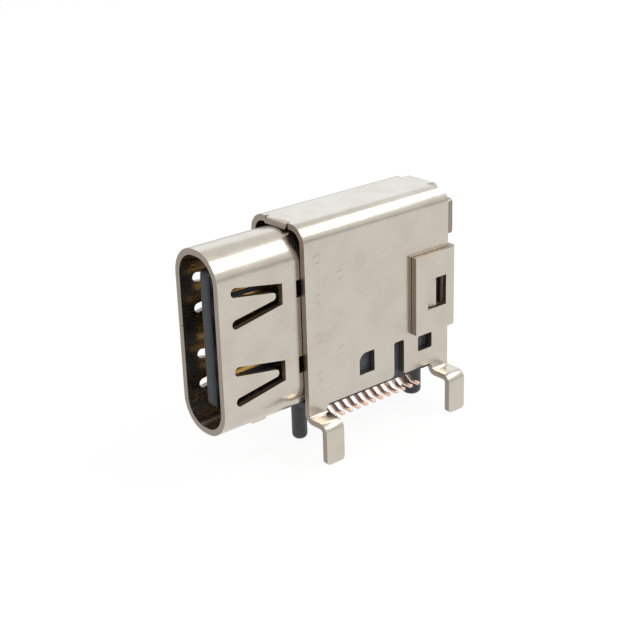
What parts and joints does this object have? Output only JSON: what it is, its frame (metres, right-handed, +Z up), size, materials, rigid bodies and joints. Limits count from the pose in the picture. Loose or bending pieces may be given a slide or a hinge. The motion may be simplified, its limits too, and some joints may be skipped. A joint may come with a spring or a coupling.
{
  "type": "usb-c socket",
  "caption": "Upright board socket for a reversible data plug, with nested sheet steel shells, a thin contact tongue, bent legs and locating pegs.",
  "frame": {"origin": "axis of the front locating peg, at the plane where the socket sits on its board", "axes": "+Z up, away from the board and along the mouth's long side; +Y from the mouth's rim to the rear cover, the way a plug goes in; +X to the right, seen from the mouth"},
  "size_m": [0.0062, 0.0141, 0.0115],
  "materials": {
    "inner_shell_steel": "nickel-plated sheet steel, satin",
    "outer_shell_steel": "nickel-plated sheet steel, satin, with faint spot-weld rings",
    "housing_plastic": "black glass-filled moulded plastic",
    "wafer_plastic": "blue-black glass-filled moulded plastic",
    "tongue_plastic": "blue-black moulded plastic, smooth",
    "inner_plate_steel": "plain stainless sheet",
    "contact_plating": "gold-flashed copper alloy strip"
  },
  "bodies": {
    "root": {"inner_shell": "inner_shell_steel", "outer_shell": "outer_shell_steel", "housing": "housing_plastic", "wafer_right": "wafer_plastic", "wafer_left": "wafer_plastic", "tongue": "tongue_plastic", "mid_plate": "inner_plate_steel", "ground_pad_right": "inner_plate_steel", "ground_pad_left": "inner_plate_steel", "contact_a1": "contact_plating", "contact_a2": "contact_plating", "contact_a3": "contact_plating", "contact_a4": "contact_plating", "contact_a5": "contact_plating", "contact_a6": "contact_plating", "contact_a7": "contact_plating", "contact_a8": "contact_plating", "contact_a9": "contact_plating", "contact_a10": "contact_plating", "contact_a11": "contact_plating", "contact_a12": "contact_plating", "contact_b1": "contact_plating", "contact_b2": "contact_plating", "contact_b3": "contact_plating", "contact_b4": "contact_plating", "contact_b5": "contact_plating", "contact_b6": "contact_plating", "contact_b7": "contact_plating", "contact_b8": "contact_plating", "contact_b9": "contact_plating", "contact_b10": "contact_plating", "contact_b11": "contact_plating", "contact_b12": "contact_plating"}
  },
  "joints": []
}
